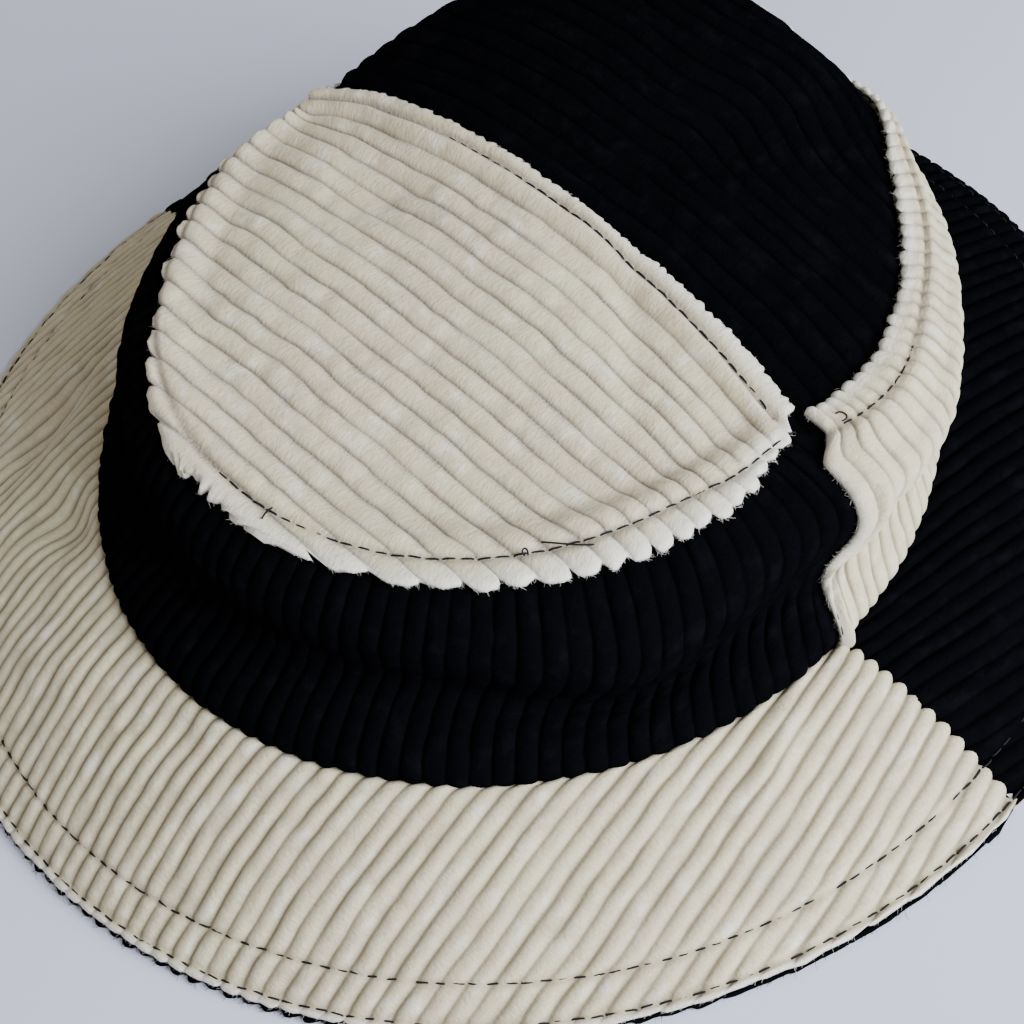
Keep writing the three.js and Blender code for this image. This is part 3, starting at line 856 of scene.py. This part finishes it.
def make_band_black():
    wales = sheet_lines(0, BAND_WALES, COARSE_STEPS)
    wales[-1] = BAND_WALES
    up = np.linspace(0, 1, BAND_ROWS + 1)
    wale = wales[None, :] * np.ones((BAND_ROWS + 1, 1))
    reach = lerp(BAND_FOOT, TOP_RADIUS + 0.3, up)[:, None] * np.ones(len(wales))
    sideways = wobble(wale, reach, 41) * smooth(0, 1.5, np.minimum(wale, BAND_WALES - wale))
    angle = PI + 0.3 / reach + (wale + sideways) * (PI - 0.6 / reach) / BAND_WALES
    tuck = 3.5 * cornering(reach * np.sin(angle)) * fade(TOP_RADIUS + 0.3, TOP_RADIUS + 5.4, reach)
    laid = lay_round(reach - tuck, angle)
    seam_away = reach * np.minimum(angle - PI, 2 * PI - angle)
    pressed = np.maximum(fade(TOP_RADIUS + 4, TOP_RADIUS + 7, reach), fade(4, 6.5, seam_away))
    height = pile(wale, reach, 43) * (1 - 0.4 * pressed)
    lift = -0.15 * pressed + turned_foot(reach)
    piece = corduroy_sheet("side_band_black_cloth", "black", laid, lift, wale, reach, height, 0 * reach)
    return between(piece, "side_band_black")


def top_lap(angle):
    """Width of the raw edge that the cream band laps over the top: wide at the right, narrow behind."""
    return LAP - 3.8 * smooth(60, 76, np.degrees(angle))


def side_lap(reach):
    """How far the cream band laps past the side seam, narrowing to nothing at the brim."""
    lap = lerp(-1.5, LAP, smooth(TOP_RADIUS - 1, TOP_RADIUS + 5, reach))
    return lap * (1 - 0.9 * smooth(FOOT - 29, FOOT - 4, reach))


def make_band_cream():
    lap_wales, settled = 0.9, 3.0
    wales = sheet_lines(-lap_wales, BAND_WALES + lap_wales, COARSE_STEPS)
    up = np.linspace(0, 1, BAND_ROWS + 1)[:, None]
    wale = wales[None, :] * np.ones((BAND_ROWS + 1, 1))
    end = TOP_RADIUS - top_lap(wales * PI / BAND_WALES) - teeth(wales, 51, 1.3, 0.5)
    end = end[None, :]
    reach = lerp(BAND_FOOT, end, up)
    step = PI / BAND_WALES
    from_start, from_end = wale, BAND_WALES - wale
    nearest = np.minimum(from_start, from_end)
    border = smooth(0.5 - lap_wales, -lap_wales, nearest)
    lap = side_lap(reach) + scallops(reach, 2.6, 0.3, 58) * smooth(0.5, 3, side_lap(reach))
    share = (nearest + lap_wales) / (settled + lap_wales)
    seamward = np.where(share < 1, lerp(-lap / reach, settled * step, share), nearest * step)
    sideways = wobble(wale, reach, 53) * smooth(0, 1.5, nearest) * step
    angle = np.where(from_start <= from_end, seamward, PI - seamward) + sideways
    seam_away = reach * np.minimum(angle, PI - angle)
    top_seam = fade(TOP_RADIUS + 1, TOP_RADIUS + 8, reach)
    side_seam = fade(1, 7, seam_away)
    lift = lapped(top_seam, side_seam) - 0.35 * border
    pull = np.maximum(sewn_down(reach - TOP_RADIUS), sewn_down(seam_away) * (reach > TOP_RADIUS + 12))
    to_end = reach - end
    to_side = (nearest + lap_wales) * 4.2
    height = pile(wale, reach, 55) * (1 - BAND_PULL[0] * pull) * rounded_end(to_end, 1.3)
    height = height * rounded_end(to_side + 0.05, 1.0)
    height = height * (1 + 0.25 * border * noise(reach / 1.7, wale * 3, 59))
    loose_end = smooth(1, LAP, TOP_RADIUS - reach)
    lift = lift - BAND_PULL[1] * pull + turned_foot(reach)
    lift = lift + 0.4 * loose_end * noise(wale * 0.9, 0, 57)
    # The whitened raw edge is partly painted highlight, as this band faces the light.
    edge = fade(0.3, 3.5, np.minimum(to_end, to_side + 1.5))
    loose = ((900, 111, "last"), (160, 112, "left", 0.8), (160, 113, "right", 0.8))
    piece = corduroy_sheet("side_band_cream_cloth", "cream_brim", lay_round(reach, angle), lift, wale, reach,
                           height, edge, loose)
    return between(piece, "side_band_cream")


# ---- brim -----------------------------------------------------------------------------
BRIM_SLOPE = 0.85          # the brim's flat sector, as a share of a full turn
FLAT_INNER = 91.0 / BRIM_SLOPE
FLAT_OUTER = FLAT_INNER + BRIM_WIDTH
HALF_SECTOR = PI / 2 * BRIM_SLOPE - 0.002
BRIM_LINES = 84
SIDE_OVERLAP = 1.1         # the cream wales reach this far over the black half's side seams


def half_brim(front, inner, outer, seed, lap=0.0):
    """Flat places of half the brim, a sector with its wales along its middle line.

    lap is how far the wale ends reach over the side seams.
    """
    widest = (FLAT_OUTER + outer(np.zeros(1))[0]) * math.sin(HALF_SECTOR) / BRIM_PITCH - 0.08
    whole = math.floor(widest)
    wales = wale_lines(-whole, whole, COARSE_STEPS)
    tail = lerp(whole, widest, np.array([1, 2, 3]) / 3)
    wales = np.concatenate([-tail[::-1], wales, tail])
    u = wales * BRIM_PITCH
    start = np.sqrt(np.maximum(inner**2 - u**2, 0))
    start = np.where(np.abs(u) < inner * math.sin(HALF_SECTOR), start,
                     np.abs(u) / math.tan(HALF_SECTOR) - lap * ridge(wales, ROUND))
    rim = FLAT_OUTER + outer(wales)
    middle = (np.floor(wales) + 0.5) * BRIM_PITCH
    stepped = lerp(u, middle, 0.35 * smooth(0, 50, np.abs(u)) * fade(60, 105, np.abs(u)))
    stop = np.sqrt(np.maximum(rim**2 - stepped**2, (start + 0.4) ** 2))
    share = np.linspace(0, 1, BRIM_LINES + 1)[:, None]
    v = lerp(start, stop, share)
    wale = wales[None, :] * np.ones_like(v)
    u = u[None, :] + wobble(wale, v, seed) * BRIM_PITCH * smooth(0, 4, v - start) * smooth(0, 2, stop - v)
    widest = (v + lap) * math.tan(HALF_SECTOR)
    u = np.clip(u, -widest, widest)
    radius, turn = np.hypot(u, v), np.arctan2(u, v)
    angle = (-PI / 2 if front else PI / 2) + turn / BRIM_SLOPE
    out = (radius - FLAT_INNER) / BRIM_WIDTH
    return wale, v, angle, out, radius - inner, stop - v


def brim_height(wale, v, seed, rim_away, to_rim):
    """Height of the brim's pile, pulled down along its stitch rows and worn at its edge."""
    pull = sewn_down(rim_away - BRIM_ROWS[0]) + sewn_down(rim_away - BRIM_ROWS[1])
    height = pile(wale, v, seed, ROUND) * (1 - BRIM_PULL[0] * pull) * rounded_end(to_rim, 1.1)
    return height, pull


def make_brim_upper(front):
    seed = 61 if front else 71
    wale, v, angle, out, from_seam, to_rim = half_brim(
        front, FLAT_INNER - 1.6, lambda w: teeth(w, seed, 0.5, 0.2) - 0.5, seed,
        SIDE_OVERLAP if front else 0.0)
    rim_away = (1 - out) * BRIM_WIDTH
    height, pull = brim_height(wale, v, seed + 3, rim_away, to_rim)
    from_side = (FLAT_INNER + out * BRIM_WIDTH) * np.minimum(np.abs(angle), PI - np.abs(angle))
    height = height * (1 - 0.35 * fade(0.5, BRIM_ROWS[1], rim_away))
    lift = -0.8 * np.clip(1 - from_seam / 2.4, 0, 1) ** 2 - BRIM_PULL[1] * pull
    lift = lift - (0.35 if front else 0.7) * fade(0, 2.5, from_side)
    lift = lift - 0.5 * fade(0, BRIM_ROWS[1], rim_away)
    edge = fade(0.2, 1.6, to_rim)
    colour, look = ("cream", "cream_brim") if front else ("black", "black")
    loose = ((700, seed + 5, "last", 0.7),)
    piece = corduroy_sheet(f"brim_upper_{colour}_cloth", look, lay_brim(angle, out), lift, wale, v, height,
                           edge, loose)
    return on_body(piece, f"brim_upper_{colour}")


def tufts(wales, seed):
    """Outline of the under brim's edge: each wale ends in a small tuft, and the grooves are cut back."""
    facing = np.sqrt(np.maximum(1 - (wales * BRIM_PITCH / FLAT_OUTER) ** 2, 0.02))
    size = 1.3 * (1 + 0.35 * noise(np.floor(wales) * 3.3, 0, seed))
    tuft = size * (1 - from_middle(wales) ** 2) ** 1.3 + 0.15 * noise(wales * 5, 0, seed + 1) - 0.9
    return lerp(0.1 + 0.25 * noise(wales * 9, 0, seed + 2), tuft, smooth(0.35, 0.9, facing))


def make_brim_under(front):
    seed = 81 if front else 91
    wale, v, angle, out, from_seam, to_rim = half_brim(
        front, FLAT_INNER - 0.6, lambda w: tufts(w, seed), seed)
    point, normal = lay_brim(angle, out)
    rim_away = (1 - out) * BRIM_WIDTH
    height, _ = brim_height(wale, v, seed + 3, rim_away, to_rim)
    rise = 1.4 * np.clip(1 - from_seam / 2.4, 0, 1) ** 2
    back = point - normal * UNDER_DEPTH
    face = back - normal * (GROUND + PILE * height - rise)[..., None]
    face[..., 2] = np.maximum(face[..., 2], 0.0)
    back[..., 2] = np.maximum(back[..., 2], face[..., 2] + GROUND)
    edge = fade(0.2, 2.0, to_rim)
    shape = Shape()
    closed_sheet(shape, face, back, np.stack([wale, v, np.clip(height, 0, 1.2)], -1), edge)
    edge_fibres(shape, back, normal, 900, seed + 5, "last", 1.1, 0.05)
    colour, look = ("black", "black") if front else ("cream", "cream_brim")
    return on_body(shape.build(f"brim_under_{colour}_cloth", look), f"brim_under_{colour}")


def make_interfacing(half, start):
    angle = lerp(start + 0.003, start + PI - 0.003, np.linspace(0, 1, 121))[:, None]
    out = np.linspace(0.0, 0.97, 25)[None, :]
    angle, out = np.broadcast_arrays(angle, out)
    point, normal = lay_brim(angle, out)
    ripple = 0.05 * noise(angle * 30, out * 9, 3)
    top = point - normal * (CLOTH + 0.3 + ripple)[..., None]
    low = point - normal * (CLOTH + 0.3 + INTERFACING + ripple)[..., None]
    piece = plain_sheet(f"interfacing_{half}_sheet", "felt", top, low, angle * 90, out * BRIM_WIDTH)
    return on_body(piece, f"brim_interfacing_{half}")


# ---- inside ---------------------------------------------------------------------------
def crown_layer(laid, depth, thick):
    """Inner and outer face of a layer inside the crown."""
    point, normal = laid
    return point - normal * (depth + thick)[..., None], point - normal * depth[..., None]


def strip_round(low, high, start, stop, rows, columns):
    """Flat places of a strip round the crown: the share of its height, the reach and the angle."""
    up, turn = np.meshgrid(np.linspace(0, 1, rows), np.linspace(0, 1, columns), indexing="ij")
    reach = lerp(low, high, up)
    return up, reach, lerp(start + 0.5 / reach, stop - 0.5 / reach, turn)


def make_lining_side(half, start):
    _, reach, angle = strip_round(FOOT, TOP_RADIUS + 2, start, start + PI, 73, 241)
    puckers = 0.12 * noise(angle * 22, reach / 9, 7) + 0.06 * noise(angle * 70, reach / 5, 8)
    depth = LINING_DEPTH + puckers * smooth(0, 6, FOOT - reach)
    inner, outer = crown_layer(lay_round(reach, angle), depth, LINING)
    piece = plain_sheet(f"lining_side_{half}_cloth", "cotton", inner, outer, angle * 100, reach)
    return between(piece, f"lining_side_{half}")


def make_lining_top():
    radius = TOP_RADIUS - 4
    a, b = np.meshgrid(np.linspace(-1, 1, 97), np.linspace(-1, 1, 97), indexing="ij")
    x = radius * a * np.sqrt(1 - b**2 / 2)
    y = radius * b * np.sqrt(1 - a**2 / 2)
    puckers = 0.15 * noise(x / 14, y / 12, 9)
    inner, outer = crown_layer(lay_crown(x, y), LINING_DEPTH + puckers, LINING)
    return on_top(plain_sheet("lining_top_cloth", "cotton", inner, outer, x, y), "lining_top")


def make_sweatband():
    up, reach, angle = strip_round(FOOT, FOOT - BAND_HEIGHT / 6, PI / 2, 2.5 * PI, 13, 361)
    selvedge = 0.2 * (near(up, 0.12) + near(up - 1, 0.12))
    depth = TAPE_DEPTH - selvedge * 0.5 + 0.1 * noise(angle * 16, reach / 8, 4)
    inner, outer = crown_layer(lay_round(reach, angle), depth, TAPE)
    return on_body(plain_sheet("sweatband_tape", "twill", inner, outer, angle * 92, reach), "sweatband")


# ---- stitching ------------------------------------------------------------------------
def stitch_row(shape, path, normal, level, seed):
    """One row of separate stitches along a path of points. level is the thread's height at each."""
    level = level + 0 * path[:, 0]
    draw = np.random.default_rng(seed)
    step = np.linalg.norm(np.diff(path, axis=0), axis=1)
    run = np.concatenate([[0], np.cumsum(step)])
    count = int(run[-1] / STITCH)
    for i in range(count):
        start = i * run[-1] / count + draw.uniform(-0.12, 0.12)
        stop = start + STITCH * 0.93
        s = np.linspace(start, stop, 9)
        centre = np.stack([np.interp(s, run, path[:, k]) for k in range(3)], 1)
        up = np.stack([np.interp(s, run, normal[:, k]) for k in range(3)], 1)
        t = np.linspace(-1, 1, 9)
        dip = -0.8 * np.abs(t) ** 5 + draw.uniform(-0.09, 0.05)
        aside = np.cross(np.gradient(centre, axis=0), up)
        aside /= np.linalg.norm(aside, axis=1, keepdims=True)
        swing = draw.uniform(-0.15, 0.15) * t + draw.uniform(-0.12, 0.12)
        line = centre + up * (np.interp(s, run, level) + dip)[:, None] + aside * swing[:, None]
        tube(shape, line, THREAD_RADIUS, sides=6)


def tail(shape, x, y, heading, length, curl, level):
    """A loose thread end lying on the crown, from a flat place, with its heading and curl in radians."""
    steps = np.linspace(0, 1, 15)
    turn = heading + curl * steps**1.5
    x = x + np.cumsum(np.cos(turn)) * length / len(steps)
    y = y + np.cumsum(np.sin(turn)) * length / len(steps)
    point, normal = lay_crown(x, y)
    hop = level + 0.35 * np.sin(PI * steps)
    tube(shape, point + normal * hop[:, None], THREAD_RADIUS * 0.9, sides=6)


TAILS = {
    # Flat place, heading, length, curl and level of each loose thread end.
    "crown_stitching_front": ((57.5, -51.5, 0.55, 10, 0.3, LIFT), (57.6, -54.2, 2.2, 2.6, 4.8, LIFT),
                              (12.1, -76.8, -1.6, 2.4, 0.2, LIFT)),
    "crown_stitching_back": ((76.8, 3.6, 1.3, 3.4, 3.6, LIFT),),
}


def sew(name, laid, level, node, place, seed):
    """A row of stitches and its loose ends, in place of one thread of the frame."""
    shape = Shape()
    stitch_row(shape, *laid, level, seed)
    for end in TAILS.get(node, ()):
        tail(shape, *end)
    return place(shape.build(name, "thread"), node)


def make_stitching():
    # Level of the threads on the lapped edges: they lie in the pile that they pull down.
    buried = LIFT - 0.42 - PILE * 0.62
    x = np.linspace(3 - STRIP_END, STRIP_END - 3, 400)
    # Some stretches have sunk out of sight in the pile.
    sunk = 0.4 * fade(-20, 0, x)
    sew("centre_stitches", lay_crown(x, dragged(x, 0 * x)), buried - sunk, "centre_stitching", on_top, 201)
    angle = np.radians(np.linspace(182, 358, 900))
    sunk = 0.9 * fade(262, 272, np.degrees(angle))
    sew("crown_front_stitches", lay_round(front_row(TOP_RADIUS * np.sin(angle)), angle),
        buried + 0.04 - sunk, "crown_stitching_front", on_top, 203)
    angle = np.radians(np.linspace(3, 177, 700))
    sunk = 0.8 * smooth(14, 34, np.degrees(angle))
    sew("crown_back_stitches", lay_round(TOP_RADIUS, angle), buried - sunk, "crown_stitching_back",
        on_top, 204)
    for side, way in (("left", -1), ("right", 1)):
        reach = np.linspace(FOOT - 2, TOP_RADIUS + 13, 300)
        sew(f"side_{side}_stitches", lay_crown(reach * way, 0 * reach), buried - 0.55,
            f"side_stitching_{side}", between, 205)
    for half, start in (("front", PI), ("back", 0.0)):
        point, normal = lay_round(FOOT - 3, start + np.linspace(0.02, PI - 0.02, 900))
        sew(f"sweatband_{half}_stitches", (point, -normal), TAPE_DEPTH + TAPE + 0.15,
            f"sweatband_stitching_{half}", on_body, 206)
    for name, inset, seed in (("inner", BRIM_ROWS[0], 207), ("outer", BRIM_ROWS[1], 208)):
        angle = np.linspace(0, 2 * PI, 1600)
        sew(f"brim_{name}_stitches", lay_brim(angle, 1 - inset / BRIM_WIDTH + 0 * angle),
            -0.3 - PILE * 0.58, f"brim_stitching_{name}", on_body, seed)


# ---- stage ----------------------------------------------------------------------------
def make_floor():
    n = Nodes("pale_table")
    cloud = n.noise(n.place(), 3.0, 3.0)
    colour = n.mix(n.ramp(cloud, 0.3, 0.7), (0.60, 0.625, 0.76, 1), (0.615, 0.64, 0.775, 1))
    material = n.finish(colour, n.ramp(cloud, 0.3, 0.7, 0.55, 0.6), Specular_IOR_Level=0.3)
    mesh = bpy.data.meshes.new("floor")
    far = 3.0
    mesh.from_pydata([(-far, -far, 0), (far, -far, 0), (far, far, 0), (-far, far, 0)], [], [(0, 1, 2, 3)])
    mesh.materials.append(material)
    floor = add_object("floor", mesh)
    floor.location.z = -0.0003


def make_light(name, place, aim, size, power, colour):
    data = bpy.data.lights.new(name, "AREA")
    data.shape, data.size, data.size_y = "RECTANGLE", size[0], size[1]
    data.energy, data.color = power, colour
    light = add_object(name, data)
    light.location = place
    light.rotation_mode = "QUATERNION"
    light.rotation_quaternion = (Vector(aim) - Vector(place)).to_track_quat("-Z", "Y")


def make_camera():
    azimuth, elevation, roll = (math.radians(a) for a in (52.9, 51.2, -10.3))
    distance, target = 0.380, Vector((0.02225, -0.0222, 0.0233))
    back = Vector((math.sin(azimuth) * math.cos(elevation), -math.cos(azimuth) * math.cos(elevation),
                   math.sin(elevation)))
    right = Vector((math.cos(azimuth), math.sin(azimuth), 0))
    up = back.cross(right)
    image_right = right * math.cos(roll) + up * math.sin(roll)
    image_up = up * math.cos(roll) - right * math.sin(roll)
    data = bpy.data.cameras.new("camera")
    data.sensor_width, data.lens = 36.0, 64.5
    camera = add_object("camera", data)
    turn = Matrix((image_right, image_up, back)).transposed().to_4x4()
    camera.matrix_world = Matrix.Translation(target + back * distance) @ turn
    data.clip_start, data.clip_end = 0.01, 20
    bpy.context.scene.camera = camera


def make_world():
    world = bpy.data.worlds.new("studio")
    bpy.context.scene.world = world
    world.use_nodes = True
    background = world.node_tree.nodes["Background"]
    background.inputs["Color"].default_value = (1.0, 0.94, 0.89, 1)
    background.inputs["Strength"].default_value = 0.38


make_camera()
make_world()
make_floor()
make_light("window", (0.85, 0.16, 0.53), (0, 0, 0), (0.75, 0.75), 29, (0.88, 0.93, 1.0))
make_light("fill", (0.6, -1.3, 1.2), (0, 0, 0), (1.5, 1.5), 6, (0.94, 0.97, 1.0))

make_top_cream()
make_top_black()
make_band_black()
make_band_cream()
for is_front in (True, False):
    make_brim_upper(is_front)
    make_brim_under(is_front)
for half_name, half_start in (("front", PI), ("back", 0.0)):
    make_interfacing(half_name, half_start)
    make_lining_side(half_name, half_start)
make_lining_top()
make_sweatband()
make_stitching()

bpy.context.view_layer.update()
